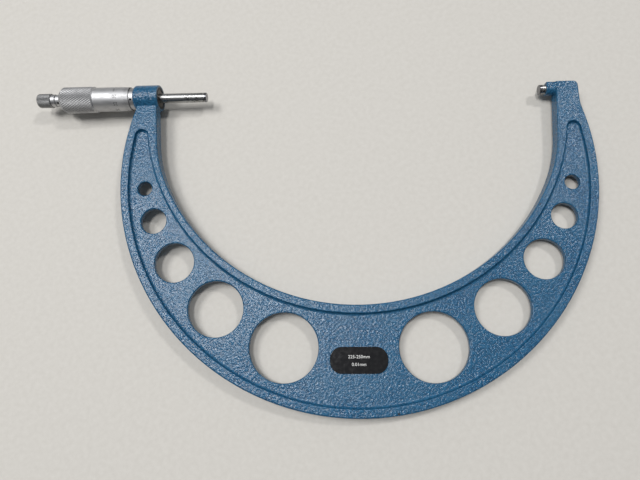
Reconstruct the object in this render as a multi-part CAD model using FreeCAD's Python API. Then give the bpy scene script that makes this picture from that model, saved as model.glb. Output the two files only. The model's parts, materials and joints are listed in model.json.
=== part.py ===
import FreeCAD, Part
import math
import os

# Outside micrometer for 225 to 250 mm with a pierced cast frame, a graduated thimble,
# a ratchet stop and a spindle lock. Millimetres.
#
# Frame of the model: the origin is the centre of the anvil's measuring face. The measuring axis
# is X, and +X points into the anvil. +Y points out of the open throat. +Z is the thickness.
# The spindle is at its lowest reading and retracts towards -X.

Vec = FreeCAD.Vector
X_AXIS = Vec(1, 0, 0)
Y_AXIS = Vec(0, 1, 0)
Z_AXIS = Vec(0, 0, 1)

# ---------------------------------------------------------------- measuring range
LOWEST_READING = 225.0
TRAVEL = 25.0

# ---------------------------------------------------------------- frame
ANVIL_FACE_TO_LIMB = 10.4
THROAT_CENTRE_Y = -6.5
LIMB_STANDS_IN = 1.8
LIMB_KNEE_Y = -45.0
LIMB_KNEE_BLEND = 90.0
FRAME_WIDTH_AT_SIDES = 18.2
FRAME_WIDTH_AT_BOTTOM = 66.5
FRAME_THICKNESS = 9.0
FRAME_EDGE_ROUND = 1.0

WEB_THICKNESS = 4.0
THROAT_RIM_AT_SIDES = 3.4
THROAT_RIM_AT_BOTTOM = 5.3
OUTER_RIM_AT_SIDES = 5.4
OUTER_RIM_AT_BOTTOM = 5.5
RECESS_TIP_RADIUS = 4.3
RECESS_FLOOR_FILLET = 1.6
RECESS_LIP_ROUND = 0.7

HOLE_TO_RECESS_WALL = 5.45
HOLE_TO_HOLE = 10.4
HOLE_TO_MIDDLE = 24.4
SMALLEST_HOLE_RADIUS = 3.0
HOLE_EDGE_ROUND = 0.8

# ---------------------------------------------------------------- anvil end
ANVIL_LIMB_SHOULDER_Y = -12.0
ANVIL_LIMB_SHOULDER_BLEND = 25.0
ANVIL_LIMB_CORNER = 3.0
ANVIL_BOSS_WALL = 0.925
ANVIL_BOSS_ROUND = 1.6
ANVIL_SHOWS = 4.1
SPINDLE_RADIUS = 3.175
CARBIDE_LENGTH = 1.4
CARBIDE_EDGE = 0.2

# ---------------------------------------------------------------- head boss and sleeves
SPINDLE_SHOWS = 32.2
BOSS_WALL = 2.75
BOSS_LENGTH = 17.1
BOSS_STANDS_OUT = 1.8
BOSS_REAR_ROUND = 2.0
BOSS_FRONT_CHAMFER = 0.4
LIMB_TO_BOSS_FILLET = 1.2

THREAD_STEP = 0.525
THREAD_AHEAD_OF_NUT = 1.0
BORE_OVER_THREAD = 0.7
INNER_SLEEVE_WALL = 2.3
INNER_SLEEVE_SET_BACK = 0.3
SLEEVE_WALL = 1.25
SLEEVE_SHOWS = 2.8
SLEEVE_OVERLAP = 7.0
SLEEVE_TO_NUT = 3.35
SPANNER_HOLE_RADIUS = 0.7
SLEEVE_HOLE_FROM_BOSS = 1.5
SLEEVE_SPANNER_DIRECTION = 30.0
NECK_SPANNER_DIRECTION = 50.0

GUIDE_BEHIND_BOSS = 5.0
NUT_LENGTH = 12.0
NUT_SLOTS = 3
NUT_SLOT_WIDTH = 0.8
NUT_TAPER_STEP = 0.1
NUT_TAPER_FALL = 0.5
ADJUSTING_NUT_LENGTH = 7.0
ADJUSTING_NUT_SET_BACK = 1.0
ADJUSTING_NUT_NOTCH = 1.4
ADJUSTING_NUT_UNDER_SLEEVE = 0.45

GUIDE_CLEARANCE = 0.025
THREAD_CLEARANCE = 0.05
RUNNING_CLEARANCE = 0.08

# ---------------------------------------------------------------- thimble
SLEEVE_TO_THIMBLE = 0.2
THIMBLE_LIP = 0.3
THIMBLE_WALL = 0.65
THIMBLE_KNURL_STEP = 0.7
THIMBLE_BEVEL = 6.6
THIMBLE_KNURL_START = 24.8
THIMBLE_REAR_CHAMFER_LENGTH = 2.1
THIMBLE_REAR_CHAMFER_DEPTH = 2.2
THIMBLE_REAR_WALL = 4.05
THIMBLE_FLOOR_GAP = 1.3
SEAT_UNDER_THREAD = 0.2
SEAT_FALL = 0.6
SEAT_SET_BACK = 0.5

# ---------------------------------------------------------------- ratchet stop
NECK_LENGTH = 7.4
NECK_OVER_SEAT = 1.15
NECK_BAND_STEP = 0.2
NECK_GROOVE_DEPTH = 0.5
NECK_GROOVE_WIDTH = 0.5
NECK_FIRST_BAND = 4.0
NECK_EDGE = 0.2
STEM_RADIUS = 1.75
STEM_LENGTH = 9.0
SHAFT_RADIUS = 1.6

KNOB_RADIUS = 4.75
KNOB_WALL = 1.0
KNOB_END_ROUND = 1.2
KNOB_FRONT_CHAMFER = 0.3
KNOB_FLANGE_THICKNESS = 1.4
KNOB_RIM_AT_END = 1.55
KNOB_RECESS_DEPTH = 3.1
KEY_WIDTH = 1.4
KEY_HEIGHT = 0.35
KEY_COUNT = 4
KEY_CLEARANCE = 0.05

WHEEL_IN_BORE = 0.25
WHEEL_THICKNESS = 1.2
TOOTH_COUNT = 12
TOOTH_HEIGHT = 0.4
TOOTH_BASE = 0.5
TOOTH_CREST = 0.15
TOOTH_ABOVE_SHAFT = 0.6
TOOTH_CLEARANCE = 0.05
PAWL_IN_BORE = 0.1
PAWL_THICKNESS = 0.9

SPRING_WIRE_RADIUS = 0.2
SPRING_WIRE_SIDES = 8
SPRING_LENGTH = 2.55
SPRING_TURNS = 2.5
SPRING_END_GAP = 0.05

WASHER_IN_RECESS = 0.5
WASHER_THICKNESS = 0.35
SCREW_HEAD_IN_RECESS = 0.7
SCREW_HEAD_HEIGHT = 1.3
SCREW_SHANK_RADIUS = 0.8
SCREW_LENGTH = 4.0
SCREW_SLOT_WIDTH = 0.6
SCREW_SLOT_DEPTH = 0.6

# ---------------------------------------------------------------- spindle lock
LOCK_SPOT_FACE_DEPTH = 0.35
LOCK_SPOT_FACE_RADIUS = 4.9
LOCK_STUD_RADIUS = 2.0
LOCK_NOSE_RADIUS = 1.45
LOCK_NOSE_LENGTH = 0.5
LOCK_PAD_RADIUS = 1.5
LOCK_PAD_GAP = 0.12
LOCK_SQUARE = 2.8
LEVER_UNDER_BOSS = 0.15
LEVER_THICKNESS = 2.6
LEVER_HUB_RADIUS = 4.2
LEVER_LENGTH = 14.0
LEVER_TIP_RADIUS = 2.4
LEVER_EDGE = 0.4
LEVER_SCREW_HEAD_RADIUS = 1.9
LEVER_SCREW_HEAD_HEIGHT = 0.8
LEVER_SCREW_SHANK_RADIUS = 0.7
LEVER_SCREW_LENGTH = 3.2
LEVER_SCREW_SLOT = 0.4

# ---------------------------------------------------------------- plates
PLATE_LENGTH = 35.0
PLATE_WIDTH = 15.8
PLATE_CORNER = 7.2
PLATE_THICKNESS = 0.6
PLATE_EDGE_ROUND = 0.15

# ---------------------------------------------------------------- sizes that follow
HALF_FRAME = FRAME_THICKNESS / 2
HALF_WEB = WEB_THICKNESS / 2

ANVIL_BOSS_RADIUS = SPINDLE_RADIUS + ANVIL_BOSS_WALL
ANVIL_LIMB_TOP_Y = ANVIL_BOSS_RADIUS

THREAD_RADIUS = SPINDLE_RADIUS + THREAD_STEP
CLEARANCE_BORE_RADIUS = THREAD_RADIUS + BORE_OVER_THREAD
INNER_SLEEVE_RADIUS = THREAD_RADIUS + INNER_SLEEVE_WALL
NUT_TAPER_FRONT_RADIUS = INNER_SLEEVE_RADIUS - NUT_TAPER_STEP
NUT_TAPER_REAR_RADIUS = NUT_TAPER_FRONT_RADIUS - NUT_TAPER_FALL
BOSS_RADIUS = INNER_SLEEVE_RADIUS + BOSS_WALL
SLEEVE_RADIUS = INNER_SLEEVE_RADIUS + SLEEVE_WALL
ADJUSTING_NUT_RADIUS = SLEEVE_RADIUS - ADJUSTING_NUT_UNDER_SLEEVE
THIMBLE_BORE_RADIUS = SLEEVE_RADIUS + SLEEVE_TO_THIMBLE
THIMBLE_MOUTH_RADIUS = THIMBLE_BORE_RADIUS + THIMBLE_LIP
THIMBLE_RADIUS = THIMBLE_BORE_RADIUS + THIMBLE_WALL
THIMBLE_KNURL_RADIUS = THIMBLE_RADIUS + THIMBLE_KNURL_STEP
THIMBLE_REAR_RADIUS = THIMBLE_KNURL_RADIUS - THIMBLE_REAR_CHAMFER_DEPTH
SEAT_FRONT_RADIUS = THREAD_RADIUS - SEAT_UNDER_THREAD
SEAT_REAR_RADIUS = SEAT_FRONT_RADIUS - SEAT_FALL
NECK_RADIUS = SEAT_REAR_RADIUS + NECK_OVER_SEAT

KNOB_BORE_RADIUS = KNOB_RADIUS - KNOB_WALL
KNOB_RECESS_RADIUS = KNOB_RADIUS - KNOB_RIM_AT_END
WHEEL_RADIUS = KNOB_BORE_RADIUS - WHEEL_IN_BORE
PAWL_RADIUS = KNOB_BORE_RADIUS - PAWL_IN_BORE
TOOTH_INNER_RADIUS = SHAFT_RADIUS + TOOTH_ABOVE_SHAFT
SPRING_RADIUS = (SHAFT_RADIUS + KNOB_BORE_RADIUS) / 2
WASHER_RADIUS = KNOB_RECESS_RADIUS - WASHER_IN_RECESS
SCREW_HEAD_RADIUS = KNOB_RECESS_RADIUS - SCREW_HEAD_IN_RECESS

# ---------------------------------------------------------------- places that follow
SPINDLE_FACE_X = -LOWEST_READING
BOSS_FRONT_X = SPINDLE_FACE_X - SPINDLE_SHOWS
BOSS_REAR_X = BOSS_FRONT_X - BOSS_LENGTH
LOCK_X = (BOSS_FRONT_X + BOSS_REAR_X) / 2
GUIDE_REAR_X = BOSS_REAR_X - GUIDE_BEHIND_BOSS

ANVIL_LIMB_INNER_X = ANVIL_FACE_TO_LIMB
HEAD_LIMB_INNER_X = BOSS_FRONT_X - BOSS_STANDS_OUT
FRAME_X = (ANVIL_LIMB_INNER_X + HEAD_LIMB_INNER_X) / 2
THROAT_RADIUS = (ANVIL_LIMB_INNER_X - HEAD_LIMB_INNER_X) / 2 + LIMB_STANDS_IN
OUTER_RADIUS = THROAT_RADIUS + FRAME_WIDTH_AT_SIDES
OUTER_CENTRE_Y = THROAT_CENTRE_Y - (FRAME_WIDTH_AT_BOTTOM - FRAME_WIDTH_AT_SIDES)
ANVIL_LIMB_OUTER_X = FRAME_X + math.sqrt(
    OUTER_RADIUS**2 - (ANVIL_LIMB_SHOULDER_Y - OUTER_CENTRE_Y) ** 2
)

RECESS_INNER_RADIUS = THROAT_RADIUS + THROAT_RIM_AT_SIDES
RECESS_INNER_Y = THROAT_CENTRE_Y - (THROAT_RIM_AT_BOTTOM - THROAT_RIM_AT_SIDES)
RECESS_OUTER_RADIUS = OUTER_RADIUS - OUTER_RIM_AT_SIDES
RECESS_OUTER_Y = OUTER_CENTRE_Y + (OUTER_RIM_AT_BOTTOM - OUTER_RIM_AT_SIDES)
PLATE_Y = (RECESS_INNER_Y - RECESS_INNER_RADIUS + RECESS_OUTER_Y - RECESS_OUTER_RADIUS) / 2

SLEEVE_REAR_X = BOSS_REAR_X - SLEEVE_SHOWS - TRAVEL - SLEEVE_OVERLAP
ADJUSTING_NUT_FRONT_X = SLEEVE_REAR_X - SLEEVE_TO_NUT
ADJUSTING_NUT_REAR_X = ADJUSTING_NUT_FRONT_X - ADJUSTING_NUT_LENGTH
INNER_SLEEVE_REAR_X = ADJUSTING_NUT_REAR_X - ADJUSTING_NUT_SET_BACK
NUT_FRONT_X = INNER_SLEEVE_REAR_X + NUT_LENGTH

THIMBLE_MOUTH_X = BOSS_REAR_X - SLEEVE_SHOWS
THIMBLE_KNURL_X = THIMBLE_MOUTH_X - THIMBLE_KNURL_START
THIMBLE_FLOOR_X = INNER_SLEEVE_REAR_X - THIMBLE_FLOOR_GAP
THIMBLE_REAR_X = THIMBLE_FLOOR_X - THIMBLE_REAR_WALL
SEAT_REAR_X = THIMBLE_REAR_X + SEAT_SET_BACK
THREAD_FRONT_X = NUT_FRONT_X + TRAVEL + THREAD_AHEAD_OF_NUT
THREAD_REAR_X = THIMBLE_FLOOR_X + THIMBLE_FLOOR_GAP / 2

KNOB_FRONT_X = THIMBLE_REAR_X - NECK_LENGTH
WHEEL_FRONT_X = KNOB_FRONT_X + NECK_EDGE
WHEEL_REAR_X = KNOB_FRONT_X - WHEEL_THICKNESS
PAWL_FRONT_X = WHEEL_REAR_X - TOOTH_HEIGHT - TOOTH_CLEARANCE
PAWL_REAR_X = PAWL_FRONT_X - PAWL_THICKNESS
FLANGE_FRONT_X = PAWL_REAR_X - SPRING_LENGTH
FLANGE_REAR_X = FLANGE_FRONT_X - KNOB_FLANGE_THICKNESS
KNOB_REAR_X = FLANGE_REAR_X - KNOB_RECESS_DEPTH
WASHER_REAR_X = FLANGE_REAR_X - WASHER_THICKNESS

SPOT_FACE_Z = -BOSS_RADIUS + LOCK_SPOT_FACE_DEPTH
LEVER_TOP_Z = -BOSS_RADIUS - LEVER_UNDER_BOSS
LEVER_BOTTOM_Z = LEVER_TOP_Z - LEVER_THICKNESS
PAD_TOP_Z = -SPINDLE_RADIUS - LOCK_PAD_GAP
STUD_TOP_Z = -INNER_SLEEVE_RADIUS - THREAD_CLEARANCE
PAD_BOTTOM_Z = STUD_TOP_Z + LOCK_NOSE_LENGTH


# ---------------------------------------------------------------- helpers
def cylinder(radius, start, along, length):
    return Part.makeCylinder(radius, length, start, along)


def bar(radius, rear_x, front_x):
    """A round bar on the measuring axis."""
    return cylinder(radius, Vec(rear_x, 0, 0), X_AXIS, front_x - rear_x)


def turned(outline):
    """A solid of revolution about the measuring axis from (x, radius) points."""
    points = [Vec(x, radius, 0) for x, radius in outline]
    face = Part.Face(Part.makePolygon(points + [points[0]]))
    return face.revolve(Vec(0, 0, 0), X_AXIS, 360)


def arc(centre, radius, start, end, through):
    """An arc in the XY plane, given by three directions from its centre in radians."""
    points = [
        centre + Vec(math.cos(a), math.sin(a), 0) * radius for a in (start, through, end)
    ]
    return Part.Arc(*points).toShape()


def line(start, end):
    return Part.LineSegment(start, end).toShape()


def direction(centre, point):
    return math.atan2(point.y - centre.y, point.x - centre.x)


def prism(edges, low_z, high_z):
    """The closed outline, drawn at z = 0, made solid between two heights."""
    face = Part.Face(Part.Wire(edges))
    face.translate(Vec(0, 0, low_z))
    return face.extrude(Vec(0, 0, high_z - low_z))


def edges_at_height(solid, z):
    """The edges that lie wholly in a level plane."""
    return [
        e for e in solid.Edges if abs(e.BoundBox.ZMin - z) < 1e-6 and abs(e.BoundBox.ZMax - z) < 1e-6
    ]


def edges_at_x(solid, x, radius=None):
    """The edges that lie wholly in a plane across the measuring axis, or only those that are
    circles of one radius about it."""
    flat = [
        e for e in solid.Edges if abs(e.BoundBox.XMin - x) < 1e-6 and abs(e.BoundBox.XMax - x) < 1e-6
    ]
    return [e for e in flat if radius is None or abs(e.BoundBox.ZMax - radius) < 1e-4]


def round_the_axis(solid, count):
    """Copies of a solid spread evenly about the measuring axis."""
    copies = []
    for i in range(count):
        copy = solid.copy()
        copy.rotate(Vec(0, 0, 0), X_AXIS, 360.0 * i / count)
        copies.append(copy)
    return copies


def clean(solid):
    """One solid without the seams that joining leaves."""
    return solid.removeSplitter().Solids[0]


# ---------------------------------------------------------------- frame
def frame_outline():
    """The C of the frame: two eccentric arcs, whose inner one runs into straight limbs that
    stand in a little from it. The limb at the anvil has a square end, and the limb at the head
    ends on the measuring axis inside the boss."""
    inner = Vec(FRAME_X, THROAT_CENTRE_Y, 0)
    outer = Vec(FRAME_X, OUTER_CENTRE_Y, 0)
    head_inner = Vec(HEAD_LIMB_INNER_X, 0, 0)
    head_outer = Vec(FRAME_X - math.sqrt(OUTER_RADIUS**2 - OUTER_CENTRE_Y**2), 0, 0)
    shoulder = Vec(ANVIL_LIMB_OUTER_X, ANVIL_LIMB_SHOULDER_Y, 0)
    corner = Vec(ANVIL_LIMB_OUTER_X - ANVIL_LIMB_CORNER, ANVIL_LIMB_TOP_Y - ANVIL_LIMB_CORNER, 0)
    anvil_top = Vec(ANVIL_LIMB_INNER_X, ANVIL_LIMB_TOP_Y, 0)
    half_chord = math.sqrt(THROAT_RADIUS**2 - (LIMB_KNEE_Y - THROAT_CENTRE_Y) ** 2)
    knee_anvil = Vec(FRAME_X + half_chord, LIMB_KNEE_Y, 0)
    knee_head = Vec(FRAME_X - half_chord, LIMB_KNEE_Y, 0)
    down = -math.pi / 2
    return [
        line(anvil_top, knee_anvil),
        arc(inner, THROAT_RADIUS, direction(inner, knee_anvil), direction(inner, knee_head), down),
        line(knee_head, head_inner),
        line(head_inner, head_outer),
        arc(outer, OUTER_RADIUS, direction(outer, head_outer), direction(outer, shoulder), down),
        line(shoulder, corner + Vec(ANVIL_LIMB_CORNER, 0, 0)),
        arc(corner, ANVIL_LIMB_CORNER, 0, math.pi / 2, math.pi / 4),
        line(corner + Vec(0, ANVIL_LIMB_CORNER, 0), anvil_top),
    ]


def recess_outline():
    """The crescent sunk into each side: two arcs joined by a round tip tangent to both."""
    inner = Vec(FRAME_X, RECESS_INNER_Y, 0)
    outer = Vec(FRAME_X, RECESS_OUTER_Y, 0)
    to_inner = RECESS_INNER_RADIUS + RECESS_TIP_RADIUS
    to_outer = RECESS_OUTER_RADIUS - RECESS_TIP_RADIUS
    between = inner.y - outer.y
    tip_y = inner.y + (to_outer**2 - to_inner**2 - between**2) / (2 * between)
    tip_x = math.sqrt(to_inner**2 - (tip_y - inner.y) ** 2)
    edges = []
    for side in (1, -1):
        tip = Vec(FRAME_X + side * tip_x, tip_y, 0)
        from_outer = direction(outer, tip)
        from_inner = direction(tip, inner)
        edges.append(arc(tip, RECESS_TIP_RADIUS, from_outer, from_inner, math.pi / 2))
    start = direction(outer, Vec(FRAME_X - tip_x, tip_y, 0))
    end = direction(outer, Vec(FRAME_X + tip_x, tip_y, 0))
    edges.append(arc(outer, RECESS_OUTER_RADIUS, start, end, -math.pi / 2))
    start = direction(inner, Vec(FRAME_X - tip_x, tip_y, 0))
    end = direction(inner, Vec(FRAME_X + tip_x, tip_y, 0))
    edges.append(arc(inner, RECESS_INNER_RADIUS, start, end, -math.pi / 2))
    return Part.__sortEdges__(edges)


def recess_cutter():
    """What is sunk into the +Z side, with a rounded foot."""
    cutter = prism(recess_outline(), HALF_WEB, FRAME_THICKNESS)
    return cutter.makeFillet(RECESS_FLOOR_FILLET, edges_at_height(cutter, HALF_WEB))


def hole_towards(angle):
    """The hole in one direction from the middle of the recess's inner arc: as far from the
    recess's inner wall as from its outer wall. Its place is measured from the frame's middle."""
    reach = RECESS_INNER_RADIUS + RECESS_OUTER_RADIUS
    between = RECESS_INNER_Y - RECESS_OUTER_Y
    distance = (reach**2 - between**2) / (2 * (reach + between * math.sin(angle)))
    radius = distance - RECESS_INNER_RADIUS - HOLE_TO_RECESS_WALL
    return Vec(distance * math.cos(angle), RECESS_INNER_Y + distance * math.sin(angle), 0), radius


def direction_where(room, start):
    """The direction, going up from start, where the room that a function gives turns positive."""
    low, high = start, 0.0
    for _ in range(60):
        middle = (low + high) / 2
        if room(*hole_towards(middle)) > 0:
            high = middle
        else:
            low = middle
    return high


def lightening_holes():
    """Places and radii of the holes of one side, from the plate upwards, as many as have room:
    the recess narrows and the holes with it, and the web between them is always as wide."""
    angle = direction_where(lambda at, radius: at.x - radius - HOLE_TO_MIDDLE, -math.pi / 2)
    holes = [hole_towards(angle)]
    while holes[-1][1] > SMALLEST_HOLE_RADIUS:
        last, last_radius = holes[-1]
        angle = direction_where(
            lambda at, radius: at.distanceToPoint(last) - radius - last_radius - HOLE_TO_HOLE, angle
        )
        holes.append(hole_towards(angle))
    return holes[:-1]


def frame_plate():
    """The pierced I-section of the frame, before its bosses."""
    plate = prism(frame_outline(), -HALF_FRAME, HALF_FRAME)
    plate = plate.makeFillet(ANVIL_LIMB_SHOULDER_BLEND, upright_edges(plate, ANVIL_LIMB_SHOULDER_Y))
    plate = plate.makeFillet(LIMB_KNEE_BLEND, upright_edges(plate, LIMB_KNEE_Y))
    rims = edges_at_height(plate, HALF_FRAME) + edges_at_height(plate, -HALF_FRAME)
    rims = [e for e in rims if abs(e.CenterOfMass.y) > 1e-6]
    plate = plate.makeFillet(FRAME_EDGE_ROUND, rims)
    cutter = recess_cutter()
    plate = plate.cut(cutter).cut(cutter.mirror(Vec(0, 0, 0), Z_AXIS))
    lips = [
        e
        for z in (HALF_FRAME, -HALF_FRAME)
        for e in edges_at_height(plate, z)
        if e.BoundBox.YMin > RECESS_OUTER_Y - RECESS_OUTER_RADIUS - 0.1
        and e.BoundBox.YMax < -RECESS_TIP_RADIUS
        and is_lip(e)
    ]
    plate = plate.makeFillet(RECESS_LIP_ROUND, lips)
    for place, radius in lightening_holes():
        for side in (1, -1):
            under = Vec(FRAME_X + side * place.x, place.y, -HALF_FRAME)
            plate = plate.cut(cylinder(radius, under, Z_AXIS, FRAME_THICKNESS))
    rounds = edges_at_height(plate, HALF_WEB) + edges_at_height(plate, -HALF_WEB)
    rounds = [e for e in rounds if e.isClosed()]
    return plate.makeFillet(HOLE_EDGE_ROUND, rounds)


def upright_edges(plate, y):
    """The edges through the frame's thickness at one place along Y."""
    return [
        e for e in plate.Edges if e.BoundBox.ZLength > HALF_FRAME and abs(e.CenterOfMass.y - y) < 1e-6
    ]


def is_lip(edge):
    """True for an edge of the recess's mouth: it is an arc of one of the recess's radii."""
    radii = (RECESS_INNER_RADIUS, RECESS_OUTER_RADIUS, RECESS_TIP_RADIUS)
    return hasattr(edge.Curve, "Radius") and any(abs(edge.Curve.Radius - r) < 1e-4 for r in radii)


def boss_junction(body):
    """The edges where the head limb runs into the round of its boss."""
    rear = BOSS_REAR_X + BOSS_REAR_ROUND
    return [
        e
        for e in body.Edges
        if e.BoundBox.XMin > rear
        and e.BoundBox.XMax < BOSS_FRONT_X - BOSS_FRONT_CHAMFER
        and e.BoundBox.YMin > -BOSS_RADIUS - FRAME_EDGE_ROUND / 10
        and e.BoundBox.YMax < -HALF_FRAME
    ]


def anvil_boss():
    """Holds the anvil: round below, and square on top where it runs on from the limb's end."""
    end = ANVIL_LIMB_INNER_X + ANVIL_LIMB_CORNER
    corner = Vec(ANVIL_SHOWS, 0, -ANVIL_BOSS_RADIUS)
    top = Part.makeBox(end - ANVIL_SHOWS, ANVIL_LIMB_TOP_Y, 2 * ANVIL_BOSS_RADIUS, corner)
    long_edges = [
        e for e in top.Edges if e.BoundBox.XLength > ANVIL_SHOWS and e.BoundBox.YMin > ANVIL_LIMB_TOP_Y / 2
    ]
    top = top.makeFillet(ANVIL_BOSS_ROUND, long_edges)
    boss = clean(bar(ANVIL_BOSS_RADIUS, ANVIL_SHOWS, end).fuse(top))
    return boss.makeChamfer(BOSS_FRONT_CHAMFER, edges_at_x(boss, ANVIL_SHOWS))


def frame():
    plate = frame_plate()
    boss = bar(BOSS_RADIUS, BOSS_REAR_X, BOSS_FRONT_X)
    boss = boss.makeFillet(BOSS_REAR_ROUND, edges_at_x(boss, BOSS_REAR_X, BOSS_RADIUS))
    boss = boss.makeChamfer(BOSS_FRONT_CHAMFER, edges_at_x(boss, BOSS_FRONT_X, BOSS_RADIUS))
    body = plate.fuse(boss)
    body = body.makeFillet(LIMB_TO_BOSS_FILLET, boss_junction(body)).fuse(anvil_boss())
    body = body.cut(bar(INNER_SLEEVE_RADIUS, BOSS_REAR_X - 1, BOSS_FRONT_X + 1))
    body = body.cut(bar(SPINDLE_RADIUS, ANVIL_SHOWS - 1, ANVIL_LIMB_OUTER_X + 1))
    below = Vec(LOCK_X, 0, -BOSS_RADIUS - 1)
    body = body.cut(cylinder(LOCK_SPOT_FACE_RADIUS, below, Z_AXIS, LOCK_SPOT_FACE_DEPTH + 1))
    lock_hole = cylinder(LOCK_STUD_RADIUS + THREAD_CLEARANCE, below, Z_AXIS, BOSS_RADIUS + 1)
    return clean(body.cut(lock_hole))


def plate_on_web(side):
    """A thin plate with round ends, glued to the web under the throat."""
    half_length = PLATE_LENGTH / 2
    half_width = PLATE_WIDTH / 2
    box = Part.makeBox(
        PLATE_LENGTH,
        PLATE_WIDTH,
        PLATE_THICKNESS,
        Vec(FRAME_X - half_length, PLATE_Y - half_width, HALF_WEB),
    )
    upright = [e for e in box.Edges if e.BoundBox.ZLength > PLATE_THICKNESS / 2]
    plate = box.makeFillet(PLATE_CORNER, upright)
    plate = plate.makeFillet(PLATE_EDGE_ROUND, edges_at_height(plate, HALF_WEB + PLATE_THICKNESS))
    if side < 0:
        plate.rotate(Vec(FRAME_X, PLATE_Y, 0), Y_AXIS, 180)
    return plate


# ---------------------------------------------------------------- anvil and spindle
def carbide(face_x, into):
    """A carbide disc with a broken edge, whose measuring face is at face_x."""
    rim = face_x + into * CARBIDE_EDGE
    back = face_x + into * CARBIDE_LENGTH
    return turned(
        [
            (face_x, 0),
            (face_x, SPINDLE_RADIUS - CARBIDE_EDGE),
            (rim, SPINDLE_RADIUS),
            (back, SPINDLE_RADIUS),
            (back, 0),
        ]
    )


def anvil():
    end = ANVIL_LIMB_OUTER_X
    pin = bar(SPINDLE_RADIUS, CARBIDE_LENGTH, end)
    return pin.makeChamfer(CARBIDE_EDGE, edges_at_x(pin, end, SPINDLE_RADIUS))


def spindle():
    """Plain at the front, threaded behind the guide, tapered where the thimble seats."""
    front = SPINDLE_FACE_X - CARBIDE_LENGTH
    rod = turned(
        [
            (front, 0),
            (front, SPINDLE_RADIUS),
            (THREAD_FRONT_X, SPINDLE_RADIUS),
            (THREAD_FRONT_X - (THREAD_RADIUS - SPINDLE_RADIUS), THREAD_RADIUS),
            (THREAD_REAR_X, THREAD_RADIUS),
            (THIMBLE_FLOOR_X, SEAT_FRONT_RADIUS),
            (SEAT_REAR_X, SEAT_REAR_RADIUS),
            (SEAT_REAR_X, 0),
        ]
    )
    return rod.cut(bar(STEM_RADIUS, SEAT_REAR_X - 1, THIMBLE_REAR_X + STEM_LENGTH))


# ---------------------------------------------------------------- sleeves
def inner_sleeve():
    """Guides the spindle at the front and carries its nut, slotted and tapered, at the rear."""
    front = BOSS_FRONT_X - INNER_SLEEVE_SET_BACK
    guide = SPINDLE_RADIUS + GUIDE_CLEARANCE
    nut = THREAD_RADIUS + THREAD_CLEARANCE
    sleeve = turned(
        [
            (front, guide),
            (front, INNER_SLEEVE_RADIUS),
            (NUT_FRONT_X, INNER_SLEEVE_RADIUS),
            (NUT_FRONT_X, NUT_TAPER_FRONT_RADIUS),
            (INNER_SLEEVE_REAR_X, NUT_TAPER_REAR_RADIUS),
            (INNER_SLEEVE_REAR_X, nut),
            (NUT_FRONT_X, nut),
            (NUT_FRONT_X, CLEARANCE_BORE_RADIUS),
            (GUIDE_REAR_X, CLEARANCE_BORE_RADIUS),
            (GUIDE_REAR_X, guide),
        ]
    )
    slot = Part.makeBox(
        NUT_LENGTH + 1,
        INNER_SLEEVE_RADIUS + 1,
        NUT_SLOT_WIDTH,
        Vec(INNER_SLEEVE_REAR_X - 1, 0, -NUT_SLOT_WIDTH / 2),
    )
    for cutter in round_the_axis(slot, NUT_SLOTS):
        sleeve = sleeve.cut(cutter)
    pad_hole = cylinder(
        LOCK_PAD_RADIUS + THREAD_CLEARANCE,
        Vec(LOCK_X, 0, -INNER_SLEEVE_RADIUS - 1),
        Z_AXIS,
        INNER_SLEEVE_RADIUS + 1,
    )
    return sleeve.cut(pad_hole)


def outer_sleeve():
    """The graduated sleeve, turned with a spanner in its small hole to set zero."""
    sleeve = bar(SLEEVE_RADIUS, SLEEVE_REAR_X, BOSS_REAR_X)
    sleeve = sleeve.cut(bar(INNER_SLEEVE_RADIUS, SLEEVE_REAR_X - 1, BOSS_REAR_X + 1))
    middle = Vec(BOSS_REAR_X - SLEEVE_HOLE_FROM_BOSS, 0, 0)
    outwards = leaning(SLEEVE_SPANNER_DIRECTION)
    return sleeve.cut(cylinder(SPANNER_HOLE_RADIUS, middle, outwards, SLEEVE_RADIUS + 1))


def leaning(degrees):
    """The direction out of the measuring axis that leans this far from +Z towards -Y."""
    tilt = math.radians(degrees)
    return Vec(0, -math.sin(tilt), math.cos(tilt))


def taper_radius(x):
    """Radius of the nut's tapered outside at a place along the axis."""
    share = (NUT_FRONT_X - x) / NUT_LENGTH
    return NUT_TAPER_FRONT_RADIUS + share * (NUT_TAPER_REAR_RADIUS - NUT_TAPER_FRONT_RADIUS)


def adjusting_nut():
    """The ring that closes the slotted nut on the thread to take up wear."""
    rear = ADJUSTING_NUT_REAR_X
    ring = turned(
        [
            (rear, taper_radius(rear)),
            (rear, ADJUSTING_NUT_RADIUS),
            (ADJUSTING_NUT_FRONT_X, ADJUSTING_NUT_RADIUS),
            (ADJUSTING_NUT_FRONT_X, taper_radius(ADJUSTING_NUT_FRONT_X)),
        ]
    )
    notch = Part.makeBox(
        ADJUSTING_NUT_NOTCH,
        ADJUSTING_NUT_NOTCH,
        4 * ADJUSTING_NUT_RADIUS,
        Vec(rear - ADJUSTING_NUT_NOTCH / 2, -ADJUSTING_NUT_NOTCH / 2, -2 * ADJUSTING_NUT_RADIUS),
    )
    return ring.cut(notch)


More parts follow.
